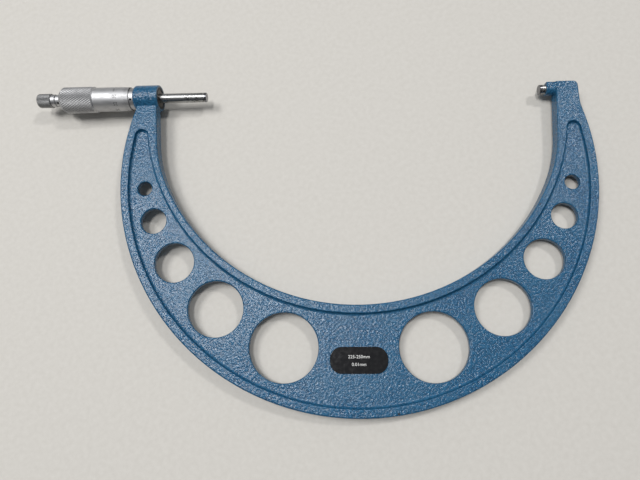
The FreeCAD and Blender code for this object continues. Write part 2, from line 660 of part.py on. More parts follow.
# ---------------------------------------------------------------- thimble
def thimble():
    """A thin bell over the sleeve, bevelled at its mouth and tapped on to the spindle's seat."""
    step = THIMBLE_KNURL_RADIUS - THIMBLE_RADIUS
    return turned(
        [
            (THIMBLE_MOUTH_X, THIMBLE_BORE_RADIUS),
            (THIMBLE_MOUTH_X, THIMBLE_MOUTH_RADIUS),
            (THIMBLE_MOUTH_X - THIMBLE_BEVEL, THIMBLE_RADIUS),
            (THIMBLE_KNURL_X, THIMBLE_RADIUS),
            (THIMBLE_KNURL_X - step, THIMBLE_KNURL_RADIUS),
            (THIMBLE_REAR_X + THIMBLE_REAR_CHAMFER_LENGTH, THIMBLE_KNURL_RADIUS),
            (THIMBLE_REAR_X, THIMBLE_REAR_RADIUS),
            (THIMBLE_REAR_X, SEAT_REAR_RADIUS),
            (SEAT_REAR_X, SEAT_REAR_RADIUS),
            (THIMBLE_FLOOR_X, SEAT_FRONT_RADIUS),
            (THIMBLE_FLOOR_X, THIMBLE_BORE_RADIUS),
        ]
    )


# ---------------------------------------------------------------- ratchet stop
def ratchet_body():
    """Screwed into the spindle's tail: stem, grooved neck with a spanner hole, and the shaft
    that the knob turns on."""
    stem_end = THIMBLE_REAR_X + STEM_LENGTH
    first_end = THIMBLE_REAR_X - NECK_FIRST_BAND
    band_start = first_end - NECK_GROOVE_WIDTH
    groove_radius = NECK_RADIUS - NECK_GROOVE_DEPTH
    band_radius = NECK_RADIUS + NECK_BAND_STEP
    shaft_end = FLANGE_REAR_X
    body = turned(
        [
            (stem_end, 0),
            (stem_end, STEM_RADIUS),
            (THIMBLE_REAR_X, STEM_RADIUS),
            (THIMBLE_REAR_X, NECK_RADIUS - NECK_EDGE),
            (THIMBLE_REAR_X - NECK_EDGE, NECK_RADIUS),
            (first_end + NECK_EDGE, NECK_RADIUS),
            (first_end, NECK_RADIUS - NECK_EDGE),
            (first_end, groove_radius),
            (band_start, groove_radius),
            (band_start, band_radius - NECK_EDGE),
            (band_start - NECK_EDGE, band_radius),
            (WHEEL_FRONT_X, band_radius),
            (WHEEL_FRONT_X, SHAFT_RADIUS),
            (shaft_end, SHAFT_RADIUS),
            (shaft_end, 0),
        ]
    )
    spanner_x = THIMBLE_REAR_X - NECK_FIRST_BAND / 2
    outwards = leaning(NECK_SPANNER_DIRECTION)
    hole = cylinder(SPANNER_HOLE_RADIUS, Vec(spanner_x, 0, 0), outwards, NECK_RADIUS + 1)
    body = body.cut(hole)
    return body.cut(bar(SCREW_SHANK_RADIUS, shaft_end - 1, WASHER_REAR_X + SCREW_LENGTH))


def crown_tooth(root_x, height):
    """One saw tooth on a ring's face: an upright flank and a ramp. A negative height points
    to -X."""
    half = TOOTH_BASE / 2
    points = [
        Vec(root_x, -half, TOOTH_INNER_RADIUS),
        Vec(root_x, half, TOOTH_INNER_RADIUS),
        Vec(root_x + height, -half + TOOTH_CREST, TOOTH_INNER_RADIUS),
        Vec(root_x + height, -half, TOOTH_INNER_RADIUS),
    ]
    face = Part.Face(Part.makePolygon(points + [points[0]]))
    return face.extrude(Vec(0, 0, WHEEL_RADIUS - TOOTH_INNER_RADIUS - TOOTH_CLEARANCE))


def ratchet_wheel():
    """The toothed ring that is fixed on the ratchet body."""
    ring = turned(
        [
            (WHEEL_FRONT_X, SHAFT_RADIUS),
            (WHEEL_FRONT_X, WHEEL_RADIUS),
            (WHEEL_REAR_X, WHEEL_RADIUS),
            (WHEEL_REAR_X, SHAFT_RADIUS),
        ]
    )
    teeth = round_the_axis(crown_tooth(WHEEL_REAR_X, -TOOTH_HEIGHT), TOOTH_COUNT)
    return clean(ring.fuse(teeth))


def keys(radius, width, rear_x, front_x):
    """Crossed bars that key the pawl ring into the knob."""
    key = Part.makeBox(
        front_x - rear_x, width, 2 * radius, Vec(rear_x, -width / 2, -radius)
    )
    first, second = round_the_axis(key, KEY_COUNT)[:2]
    return first.fuse(second)


def ratchet_pawl():
    """The sprung ring that clicks over the wheel's teeth and turns with the knob."""
    key_radius = PAWL_RADIUS + KEY_HEIGHT
    ring = bar(PAWL_RADIUS, PAWL_REAR_X, PAWL_FRONT_X)
    ring = ring.fuse(keys(key_radius, KEY_WIDTH, PAWL_REAR_X, PAWL_FRONT_X))
    tooth = crown_tooth(PAWL_FRONT_X, TOOTH_HEIGHT)
    tooth.rotate(Vec(0, 0, 0), X_AXIS, 180.0 / TOOTH_COUNT)
    ring = ring.fuse(round_the_axis(tooth, TOOTH_COUNT))
    bore = bar(SHAFT_RADIUS + RUNNING_CLEARANCE, PAWL_REAR_X - 1, PAWL_FRONT_X + 1)
    return clean(ring.cut(bore))


def ratchet_spring():
    """A short coil between the pawl ring and the knob's flange."""
    rear = FLANGE_FRONT_X + SPRING_END_GAP + SPRING_WIRE_RADIUS
    front = PAWL_REAR_X - SPRING_END_GAP - SPRING_WIRE_RADIUS
    pitch = (front - rear) / SPRING_TURNS
    helix = Part.makeHelix(pitch, front - rear, SPRING_RADIUS)
    corners = [
        Vec(SPRING_RADIUS + SPRING_WIRE_RADIUS * math.cos(a), 0, SPRING_WIRE_RADIUS * math.sin(a))
        for a in (2 * math.pi * i / SPRING_WIRE_SIDES for i in range(SPRING_WIRE_SIDES))
    ]
    wire = Part.makePolygon(corners + [corners[0]])
    coil = Part.Wire(helix.Edges).makePipeShell([wire], True, True)
    coil.rotate(Vec(0, 0, 0), Y_AXIS, 90)
    coil.translate(Vec(rear, 0, 0))
    return coil


def ratchet_knob():
    """The small thumb barrel: a keyed bore in front, a flange that the screw holds, and a
    recess for the screw's head."""
    barrel = bar(KNOB_RADIUS, KNOB_REAR_X, KNOB_FRONT_X)
    barrel = barrel.makeFillet(KNOB_END_ROUND, edges_at_x(barrel, KNOB_REAR_X, KNOB_RADIUS))
    barrel = barrel.makeChamfer(KNOB_FRONT_CHAMFER, edges_at_x(barrel, KNOB_FRONT_X, KNOB_RADIUS))
    barrel = barrel.cut(bar(KNOB_BORE_RADIUS, FLANGE_FRONT_X, KNOB_FRONT_X + 1))
    key_radius = PAWL_RADIUS + KEY_HEIGHT + KEY_CLEARANCE
    key_width = KEY_WIDTH + 2 * KEY_CLEARANCE
    barrel = barrel.cut(keys(key_radius, key_width, FLANGE_FRONT_X, WHEEL_REAR_X))
    barrel = barrel.cut(bar(SHAFT_RADIUS + RUNNING_CLEARANCE, KNOB_REAR_X - 1, KNOB_FRONT_X + 1))
    return barrel.cut(bar(KNOB_RECESS_RADIUS, KNOB_REAR_X - 1, FLANGE_REAR_X))


def ratchet_washer():
    washer = bar(WASHER_RADIUS, WASHER_REAR_X, FLANGE_REAR_X)
    return washer.cut(bar(SCREW_SHANK_RADIUS, WASHER_REAR_X - 1, FLANGE_REAR_X + 1))


def ratchet_screw():
    """The slotted cheese-head screw that holds the knob on its shaft."""
    head_end = WASHER_REAR_X - SCREW_HEAD_HEIGHT
    head = bar(SCREW_HEAD_RADIUS, head_end, WASHER_REAR_X)
    screw = head.fuse(bar(SCREW_SHANK_RADIUS, WASHER_REAR_X, WASHER_REAR_X + SCREW_LENGTH))
    slot = Part.makeBox(
        SCREW_SLOT_DEPTH + 1,
        SCREW_SLOT_WIDTH,
        4 * SCREW_HEAD_RADIUS,
        Vec(head_end - 1, -SCREW_SLOT_WIDTH / 2, -2 * SCREW_HEAD_RADIUS),
    )
    return clean(screw.cut(slot))


# ---------------------------------------------------------------- spindle lock
def square_bar(width, low_z, high_z):
    corner = Vec(LOCK_X - width / 2, -width / 2, low_z)
    return Part.makeBox(width, width, high_z - low_z, corner)


def upright(radius, low_z, high_z):
    """A round bar on the lock's own axis."""
    return cylinder(radius, Vec(LOCK_X, 0, low_z), Z_AXIS, high_z - low_z)


def lock_pad():
    """The brass plug that the stud presses against the spindle."""
    return upright(LOCK_PAD_RADIUS, PAD_BOTTOM_Z, PAD_TOP_Z)


def lock_stud():
    """Threaded through the boss, with a nose on the plug and a square for the lever."""
    stud = upright(LOCK_STUD_RADIUS, SPOT_FACE_Z, STUD_TOP_Z)
    stud = stud.fuse(upright(LOCK_NOSE_RADIUS, STUD_TOP_Z, PAD_BOTTOM_Z))
    stud = stud.fuse(square_bar(LOCK_SQUARE, LEVER_BOTTOM_Z + LEVER_SCREW_HEAD_HEIGHT, SPOT_FACE_Z))
    screw_end = LEVER_BOTTOM_Z + LEVER_SCREW_LENGTH
    return clean(stud.cut(upright(LEVER_SCREW_SHANK_RADIUS, LEVER_BOTTOM_Z, screw_end)))


def lever_outline():
    """A round hub and a smaller round tip joined by their common tangents."""
    hub = Vec(LOCK_X, 0, 0)
    tip = Vec(LOCK_X, -LEVER_LENGTH, 0)
    lean = math.asin((LEVER_HUB_RADIUS - LEVER_TIP_RADIUS) / LEVER_LENGTH)
    right = -lean
    left = math.pi + lean
    spot = {
        (name, side): centre + Vec(math.cos(a), math.sin(a), 0) * radius
        for name, centre, radius in (("hub", hub, LEVER_HUB_RADIUS), ("tip", tip, LEVER_TIP_RADIUS))
        for side, a in (("right", right), ("left", left))
    }
    return [
        arc(hub, LEVER_HUB_RADIUS, right, left, math.pi / 2),
        line(spot["hub", "left"], spot["tip", "left"]),
        arc(tip, LEVER_TIP_RADIUS, left, 2 * math.pi + right, 3 * math.pi / 2),
        line(spot["tip", "right"], spot["hub", "right"]),
    ]


def lock_lever():
    lever = prism(lever_outline(), LEVER_BOTTOM_Z, LEVER_TOP_Z)
    lever = lever.makeFillet(LEVER_EDGE, edges_at_height(lever, LEVER_BOTTOM_Z))
    lever = lever.cut(square_bar(LOCK_SQUARE, LEVER_BOTTOM_Z, LEVER_TOP_Z + 1))
    return lever.cut(lever_screw_head())


def lever_screw_head():
    return upright(LEVER_SCREW_HEAD_RADIUS, LEVER_BOTTOM_Z, LEVER_BOTTOM_Z + LEVER_SCREW_HEAD_HEIGHT)


def lock_lever_screw():
    """The flat-headed screw, flush with the lever, that keeps it on the stud."""
    shank_top = LEVER_BOTTOM_Z + LEVER_SCREW_LENGTH
    screw = lever_screw_head().fuse(upright(LEVER_SCREW_SHANK_RADIUS, LEVER_BOTTOM_Z, shank_top))
    slot = Part.makeBox(
        4 * LEVER_SCREW_HEAD_RADIUS,
        LEVER_SCREW_SLOT,
        LEVER_SCREW_SLOT + 1,
        Vec(LOCK_X - 2 * LEVER_SCREW_HEAD_RADIUS, -LEVER_SCREW_SLOT / 2, LEVER_BOTTOM_Z - 1),
    )
    return clean(screw.cut(slot))


# ---------------------------------------------------------------- every piece in its own file
PIECES = {
    "frame": frame,
    "anvil": anvil,
    "anvil_tip": lambda: carbide(0.0, 1),
    "range_plate": lambda: plate_on_web(1),
    "front_plate": lambda: plate_on_web(-1),
    "inner_sleeve": inner_sleeve,
    "outer_sleeve": outer_sleeve,
    "adjusting_nut": adjusting_nut,
    "spindle": spindle,
    "spindle_tip": lambda: carbide(SPINDLE_FACE_X, -1),
    "thimble": thimble,
    "ratchet_body": ratchet_body,
    "ratchet_wheel": ratchet_wheel,
    "ratchet_pawl": ratchet_pawl,
    "ratchet_spring": ratchet_spring,
    "ratchet_knob": ratchet_knob,
    "ratchet_washer": ratchet_washer,
    "ratchet_screw": ratchet_screw,
    "lock_pad": lock_pad,
    "lock_stud": lock_stud,
    "lock_lever": lock_lever,
    "lock_lever_screw": lock_lever_screw,
}

os.makedirs("parts", exist_ok=True)
for name, make in PIECES.items():
    shape = make()
    box = shape.BoundBox
    print(
        f"{name:18s} solids {len(shape.Solids)} valid {shape.isValid()} volume {shape.Volume:10.2f}"
        f"  x {box.XMin:.2f} {box.XMax:.2f}  y {box.YMin:.2f} {box.YMax:.2f}"
        f"  z {box.ZMin:.2f} {box.ZMax:.2f}"
    )
    shape.exportStep(f"parts/{name}.step")
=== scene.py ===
import json
import math

import bmesh
import bpy
from mathutils import Euler, Matrix, Vector


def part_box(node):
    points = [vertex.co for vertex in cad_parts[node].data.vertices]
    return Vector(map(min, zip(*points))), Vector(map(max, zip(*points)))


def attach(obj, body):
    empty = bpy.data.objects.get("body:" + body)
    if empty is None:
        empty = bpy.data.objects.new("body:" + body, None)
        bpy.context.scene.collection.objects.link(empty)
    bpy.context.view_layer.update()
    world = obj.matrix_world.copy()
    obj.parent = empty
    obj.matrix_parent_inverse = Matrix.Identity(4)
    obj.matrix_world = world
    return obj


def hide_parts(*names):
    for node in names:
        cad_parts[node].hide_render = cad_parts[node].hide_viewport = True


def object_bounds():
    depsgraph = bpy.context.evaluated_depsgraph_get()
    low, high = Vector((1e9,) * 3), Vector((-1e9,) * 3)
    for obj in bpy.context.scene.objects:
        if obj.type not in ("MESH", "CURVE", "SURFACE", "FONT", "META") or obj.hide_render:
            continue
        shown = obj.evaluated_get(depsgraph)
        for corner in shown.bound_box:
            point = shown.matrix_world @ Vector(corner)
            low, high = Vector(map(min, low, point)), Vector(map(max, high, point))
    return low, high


# The looks of an outside micrometer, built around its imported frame. Metres, in the same frame
# as the CAD: the origin is the centre of the anvil's measuring face, +X points into the anvil,
# +Y out of the throat and +Z to the side with the range plate.

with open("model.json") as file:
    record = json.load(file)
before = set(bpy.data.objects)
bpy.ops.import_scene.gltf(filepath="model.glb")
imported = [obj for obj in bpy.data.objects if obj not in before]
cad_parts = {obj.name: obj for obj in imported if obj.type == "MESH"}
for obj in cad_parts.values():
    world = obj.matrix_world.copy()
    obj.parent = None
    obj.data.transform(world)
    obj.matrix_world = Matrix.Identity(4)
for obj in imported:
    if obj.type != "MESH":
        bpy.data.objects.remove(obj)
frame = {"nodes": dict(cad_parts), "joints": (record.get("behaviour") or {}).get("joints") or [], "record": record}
CAD_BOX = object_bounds()
MM = 0.001

# ---------------------------------------------------------------- camera, floor and lights
CAMERA_PLACE = Vector((-0.1367, -0.1652, 0.3010))
CAMERA_TILT = (11.942, 2.117, -0.272)
CAMERA_LENS_MM = 27.06
FLOOR_SIZE = 6.0
FLOOR_STEPS = 24

# ---------------------------------------------------------------- scales
THIMBLE_DIVISIONS = 50
NUMBERED_EVERY = 5
THREAD_PITCH = 0.5 * MM
SPINDLE_SLIDE = next(j for j in frame["joints"] if j["name"] == "spindle_slide")
TRAVEL = SPINDLE_SLIDE["range_m"][1]
INDEX_DIRECTION = math.radians(320.0)
INK_THICKNESS = 0.012 * MM
THIMBLE_MARK_WIDTH = 0.13 * MM
THIMBLE_LONG_MARK_END = 4.4 * MM
THIMBLE_SHORT_MARK_END = 3.2 * MM
THIMBLE_NUMBER_HEIGHT = 2.3 * MM
THIMBLE_NUMBER_BEHIND_BEVEL = 2.6 * MM
SLEEVE_MARK_WIDTH = 0.12 * MM
SLEEVE_LONG_MARK = 2.6 * MM
SLEEVE_SHORT_MARK = 1.7 * MM
SLEEVE_NUMBER_HEIGHT = 1.5 * MM
SLEEVE_NUMBER_OFFSET = 3.7 * MM
PLATE_TEXT_HEIGHT = 1.9 * MM
PLATE_LINES = (("225-250mm", 2.1 * MM), ("0.01mm", -2.4 * MM))

# ---------------------------------------------------------------- thimble
THIMBLE_LOW, THIMBLE_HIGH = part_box("thimble")
SLEEVE_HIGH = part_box("outer_sleeve")[1]
MOUTH_X = THIMBLE_HIGH.x
THIMBLE_REAR_X = THIMBLE_LOW.x
KNURL_RADIUS = THIMBLE_HIGH.z
KNURL_STANDS_OUT = 0.7 * MM
THIMBLE_RADIUS = KNURL_RADIUS - KNURL_STANDS_OUT
THIMBLE_BORE = THIMBLE_RADIUS - 0.65 * MM
MOUTH_RADIUS = THIMBLE_BORE + 0.3 * MM
SOFT_EDGE = 0.12 * MM
BEVEL_LENGTH = 6.6 * MM
KNURL_FRONT_X = MOUTH_X - 24.8 * MM
REAR_CHAMFER_LENGTH = 2.1 * MM
REAR_CHAMFER_DEPTH = 2.2 * MM
THIMBLE_REAR_WALL = 4.05 * MM
SEAT_RADIUS = 2.9 * MM
SLEEVE_RADIUS = SLEEVE_HIGH.y

KNURL_TEETH_AROUND = 37
KNURL_DEPTH = 0.34 * MM
KNURL_STEPS = 4
KNURL_LEAN = math.radians(33.0)
KNURL_CREASE = 12.0

# ---------------------------------------------------------------- ratchet knob
KNOB_LOW, KNOB_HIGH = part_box("ratchet_knob")
KNOB_RADIUS = KNOB_HIGH.z
KNOB_TEETH_AROUND = 44
KNOB_KNURL_DEPTH = 0.14 * MM
KNOB_END_ROUND = 1.2 * MM
KNOB_FRONT_CHAMFER = 0.3 * MM
KNOB_RECESS_RADIUS = 3.2 * MM
KNOB_RECESS_DEPTH = 3.1 * MM
KNOB_RECESS_CHAMFER = 0.1 * MM
KNOB_FLANGE_THICKNESS = 1.4 * MM
KNOB_SHAFT_HOLE = 1.68 * MM
KNOB_BORE = 4.06 * MM

# ---------------------------------------------------------------- places that materials need
SLEEVE_SPANNER_X = SLEEVE_HIGH.x - 1.5 * MM
SLEEVE_SPANNER_DIRECTION = math.radians(120.0)
NECK_SPANNER_X = THIMBLE_REAR_X - 2.0 * MM
NECK_SPANNER_DIRECTION = math.radians(140.0)
SPANNER_HOLE_RADIUS = 0.7 * MM
RIM_MOUNT = next(m for m in frame["record"]["mounts"] if m["name"] == "stand_jaw_back")
FRAME_TOP_Z = RIM_MOUNT["pos_m"][2]
SPINDLE_FACE_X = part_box("spindle_tip")[1].x
BOSS_FRONT_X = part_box("inner_sleeve")[1].x + 0.3 * MM
BARE_RING_RADIUS = 7.4 * MM


# ---------------------------------------------------------------- meshes
def piece_from(name, vertices, faces, body, slot, crease=35.0):
    """A mesh piece that rides on a body, smooth except along edges sharper than the crease."""
    mesh = bpy.data.meshes.new(name)
    mesh.from_pydata(vertices, [], faces)
    mesh.validate()
    mesh.shade_smooth()
    mesh.set_sharp_from_angle(angle=math.radians(crease))
    piece = bpy.data.objects.new(name, mesh)
    bpy.context.scene.collection.objects.link(piece)
    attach(piece, body)
    return piece


def on_axis(x, radius, angle):
    """A point by its place along the measuring axis, its radius, and its direction from +Y to +Z."""
    return Vector((x, radius * math.cos(angle), radius * math.sin(angle)))


def turned(profile, steps, relief=None):
    """Vertices and triangles of a closed ring-shaped solid about the measuring axis, from
    (x, radius) points. relief(x, radius, angle) may change the radius. Each square is split
    along its lower diagonal, so that a groove stays straight."""
    vertices = []
    heights = []
    for x, radius in profile:
        for step in range(steps):
            angle = 2 * math.pi * step / steps
            here = relief(x, radius, angle) if relief else radius
            vertices.append(on_axis(x, here, angle))
            heights.append(here)
    faces = []
    for ring in range(len(profile)):
        after = (ring + 1) % len(profile)
        for step in range(steps):
            turn = (step + 1) % steps
            a, b = ring * steps + step, ring * steps + turn
            c, d = after * steps + turn, after * steps + step
            if heights[b] + heights[d] < heights[a] + heights[c]:
                faces += [(a, b, d), (b, c, d)]
            else:
                faces += [(a, b, c), (a, c, d)]
    return vertices, faces


def knurl_height(along, around):
    """Height from 0 to 1 of crossed V-grooves, at a place counted in teeth."""
    first = abs(2 * ((along + around) % 1.0) - 1)
    second = abs(2 * ((along - around) % 1.0) - 1)
    return 1 - max(first, second)


def knurl(start_x, end_x, radius, teeth, depth):
    """The rings of a knurled stretch going towards -X, and the relief that cuts the teeth
    down from a ring's own radius."""
    step = 2 * math.pi * radius / teeth / math.tan(KNURL_LEAN) / KNURL_STEPS
    count = int((start_x - end_x) / step)
    rings = {start_x - i * step: i / KNURL_STEPS for i in range(1, count)}

    def relief(x, envelope, angle):
        if x not in rings:
            return envelope
        around = angle / (2 * math.pi) * teeth
        return envelope - depth * (1 - knurl_height(rings[x], around))

    return rings, relief


def thimble():
    """The thimble with its knurl cut, hollow as it is over the sleeve."""
    rear_chamfer_x = THIMBLE_REAR_X + REAR_CHAMFER_LENGTH
    knurl_start = KNURL_FRONT_X - KNURL_STANDS_OUT
    rings, relief = knurl(
        knurl_start, THIMBLE_REAR_X, KNURL_RADIUS, KNURL_TEETH_AROUND, KNURL_DEPTH
    )

    def envelope(x):
        share = max(0.0, (rear_chamfer_x - x) / REAR_CHAMFER_LENGTH)
        return KNURL_RADIUS - share * REAR_CHAMFER_DEPTH

    floor_x = THIMBLE_REAR_X + THIMBLE_REAR_WALL
    profile = [
        (MOUTH_X - SOFT_EDGE, THIMBLE_BORE),
        (MOUTH_X, THIMBLE_BORE + SOFT_EDGE),
        (MOUTH_X, MOUTH_RADIUS - SOFT_EDGE),
        (MOUTH_X - SOFT_EDGE, MOUTH_RADIUS),
        (MOUTH_X - BEVEL_LENGTH, THIMBLE_RADIUS),
        (KNURL_FRONT_X + SOFT_EDGE, THIMBLE_RADIUS),
        (KNURL_FRONT_X, THIMBLE_RADIUS + SOFT_EDGE / 2),
        (knurl_start, KNURL_RADIUS),
        *((x, envelope(x)) for x in rings),
        (THIMBLE_REAR_X, KNURL_RADIUS - REAR_CHAMFER_DEPTH),
        (THIMBLE_REAR_X, SEAT_RADIUS),
        (floor_x, SEAT_RADIUS),
        (floor_x, THIMBLE_BORE),
    ]
    steps = KNURL_TEETH_AROUND * KNURL_STEPS
    piece = piece_from(
        "knurled_thimble",
        *turned(profile, steps, relief),
        "thimble_and_spindle",
        "satin_chrome",
        KNURL_CREASE,
    )
    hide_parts("thimble")
    return piece


def knob_envelope(x):
    """The knob's radius over its teeth, with its outer end rounded."""
    into = KNOB_END_ROUND - (x - KNOB_LOW.x)
    if into <= 0:
        return KNOB_RADIUS
    return KNOB_RADIUS - KNOB_END_ROUND + math.sqrt(KNOB_END_ROUND**2 - into**2)


def knob_profile(rings):
    """The knob's outline as (x, radius) points: the bore's front, the teeth, the end recess
    and the flange that the screw holds."""
    front_x, rear_x = KNOB_HIGH.x, KNOB_LOW.x
    flange_rear = rear_x + KNOB_RECESS_DEPTH
    flange_front = flange_rear + KNOB_FLANGE_THICKNESS
    return [
        (front_x, KNOB_BORE),
        (front_x, KNOB_RADIUS - KNOB_FRONT_CHAMFER),
        (front_x - KNOB_FRONT_CHAMFER, KNOB_RADIUS),
        *((x, knob_envelope(x)) for x in rings),
        (rear_x, KNOB_RADIUS - KNOB_END_ROUND),
        (rear_x, KNOB_RECESS_RADIUS + KNOB_RECESS_CHAMFER),
        (rear_x + KNOB_RECESS_CHAMFER, KNOB_RECESS_RADIUS),
        (flange_rear, KNOB_RECESS_RADIUS),
        (flange_rear, KNOB_SHAFT_HOLE),
        (flange_front, KNOB_SHAFT_HOLE),
        (flange_front, KNOB_BORE),
    ]


def ratchet_knob():
    """The thumb barrel of the ratchet with its fine knurl, its end recess and its bore."""
    knurl_start = KNOB_HIGH.x - KNOB_FRONT_CHAMFER
    rings, relief = knurl(
        knurl_start, KNOB_LOW.x, KNOB_RADIUS, KNOB_TEETH_AROUND, KNOB_KNURL_DEPTH
    )
    steps = KNOB_TEETH_AROUND * KNURL_STEPS
    piece = piece_from(
        "knurled_knob",
        *turned(knob_profile(rings), steps, relief),
        "ratchet_knob",
        "ratchet_steel",
        KNURL_CREASE,
    )
    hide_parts("ratchet_knob")
    return piece


# ---------------------------------------------------------------- engraved scales and lettering
def glyphs(text, height):
    """Vertices and faces of flat lettering with a little thickness, its figures as tall as
    asked, centred on the origin, reading along +X with its top towards +Y."""
    curve = bpy.data.curves.new("lettering", "FONT")
    curve.body = text
    curve.align_x = "CENTER"
    curve.resolution_u = 3
    curve.extrude = 0.5
    letters = bpy.data.objects.new("lettering", curve)
    bpy.context.scene.collection.objects.link(letters)
    bpy.context.view_layer.update()
    mesh = bpy.data.meshes.new_from_object(letters.evaluated_get(bpy.context.evaluated_depsgraph_get()))
    cleaner = bmesh.new()
    cleaner.from_mesh(mesh)
    bmesh.ops.remove_doubles(cleaner, verts=cleaner.verts, dist=1e-5)
    cleaner.to_mesh(mesh)
    cleaner.free()
    low = min(v.co.y for v in mesh.vertices)
    high = max(v.co.y for v in mesh.vertices)
    size = height / (high - low)
    points = [
        Vector((v.co.x * size, (v.co.y - (low + high) / 2) * size, (v.co.z + 0.5) * INK_THICKNESS))
        for v in mesh.vertices
    ]
    faces = [tuple(p.vertices) for p in mesh.polygons]
    bpy.data.objects.remove(letters)
    bpy.data.curves.remove(curve)
    bpy.data.meshes.remove(mesh)
    return points, faces


class Marks:
    """Collects ink marks that lie on the turned surfaces, as one mesh."""

    def __init__(self):
        self.vertices = []
        self.faces = []

    def add(self, points, faces):
        first = len(self.vertices)
        self.vertices += points
        self.faces += [tuple(first + i for i in face) for face in faces]

    def stroke(self, start_x, end_x, angle_from, angle_to, radius_at, steps=1):
        """A thin raised patch between two places along the axis and two directions."""
        points = []
        for i in range(steps + 1):
            angle = angle_from + (angle_to - angle_from) * i / steps
            for x in (start_x, end_x):
                for rise in (0.0, INK_THICKNESS):
                    points.append(on_axis(x, radius_at(x) + rise, angle))
        faces = [(0, 2, 3, 1), (4 * steps, 4 * steps + 1, 4 * steps + 3, 4 * steps + 2)]
        for i in range(steps):
            a = 4 * i
            b = a + 4
            faces += [(a, b, b + 2, a + 2), (a + 1, a + 3, b + 3, b + 1)]
            faces += [(a, a + 1, b + 1, b), (a + 2, b + 2, b + 3, a + 3)]
        self.add(points, faces)

    def number(self, text, height, x, angle, radius):
        """A number that reads towards -X with its top towards the rising readings."""
        points, faces = glyphs(text, height)
        self.add([on_axis(x - p.x, radius + p.z, angle + p.y / radius) for p in points], faces)


def bevel_radius(x):
    """The radius of the thimble's bevel at a place along it."""
    share = (MOUTH_X - x) / BEVEL_LENGTH
    return MOUTH_RADIUS + share * (THIMBLE_RADIUS - MOUTH_RADIUS)


def thimble_scale():
    """Fifty divisions on the bevel, and a number behind each fifth one. Zero is on the index
    line when the faces are at their lowest reading."""
    marks = Marks()
    half = THIMBLE_MARK_WIDTH / 2 / MOUTH_RADIUS
    number_x = MOUTH_X - BEVEL_LENGTH - THIMBLE_NUMBER_BEHIND_BEVEL
    for division in range(THIMBLE_DIVISIONS):
        angle = INDEX_DIRECTION + 2 * math.pi * division / THIMBLE_DIVISIONS
        numbered = division % NUMBERED_EVERY == 0
        end = THIMBLE_LONG_MARK_END if numbered else THIMBLE_SHORT_MARK_END
        marks.stroke(MOUTH_X - 0.35 * MM, MOUTH_X - end, angle - half, angle + half, bevel_radius)
        if numbered:
            marks.number(str(division), THIMBLE_NUMBER_HEIGHT, number_x, angle, THIMBLE_RADIUS)
    return piece_from(
        "thimble_scale", marks.vertices, marks.faces, "thimble_and_spindle", "black_plate"
    )


def on_sleeve(_):
    """The sleeve's radius, which is the same everywhere along it."""
    return SLEEVE_RADIUS


def sleeve_scale():
    """The index line with whole millimetres on one side and halves on the other."""
    marks = Marks()
    half = SLEEVE_MARK_WIDTH / 2
    turn = half / SLEEVE_RADIUS
    number_direction = INDEX_DIRECTION + SLEEVE_NUMBER_OFFSET / SLEEVE_RADIUS
    marks.stroke(
        SLEEVE_HIGH.x - 0.3 * MM,
        MOUTH_X - TRAVEL - 1.0 * MM,
        INDEX_DIRECTION - turn,
        INDEX_DIRECTION + turn,
        on_sleeve,
    )
    halves = round(TRAVEL / THREAD_PITCH)
    for i in range(halves + 1):
        x = MOUTH_X - i * THREAD_PITCH
        fifth = i % (2 * NUMBERED_EVERY) == 0
        reach = (SLEEVE_LONG_MARK if fifth else SLEEVE_SHORT_MARK) / SLEEVE_RADIUS
        side = 1 if i % 2 == 0 else -1
        low, high = sorted((INDEX_DIRECTION, INDEX_DIRECTION + side * reach))
        marks.stroke(x + half, x - half, low, high, on_sleeve, 4)
        if fifth:
            marks.number(str(i // 2), SLEEVE_NUMBER_HEIGHT, x, number_direction, SLEEVE_RADIUS)
    return piece_from("sleeve_scale", marks.vertices, marks.faces, "frame", "black_plate")


def plate_lettering():
    """The measuring range over the reading, in plain figures on the range plate."""
    low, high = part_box("range_plate")
    middle = (low + high) / 2
    points, faces = [], []
    for text, up in PLATE_LINES:
        first = len(points)
        letters, outlines = glyphs(text, PLATE_TEXT_HEIGHT)
        points += [Vector((middle.x + p.x, middle.y + up + p.y, high.z + p.z)) for p in letters]
        faces += [tuple(first + i for i in face) for face in outlines]
    return piece_from("plate_lettering", points, faces, "frame", "satin_chrome")


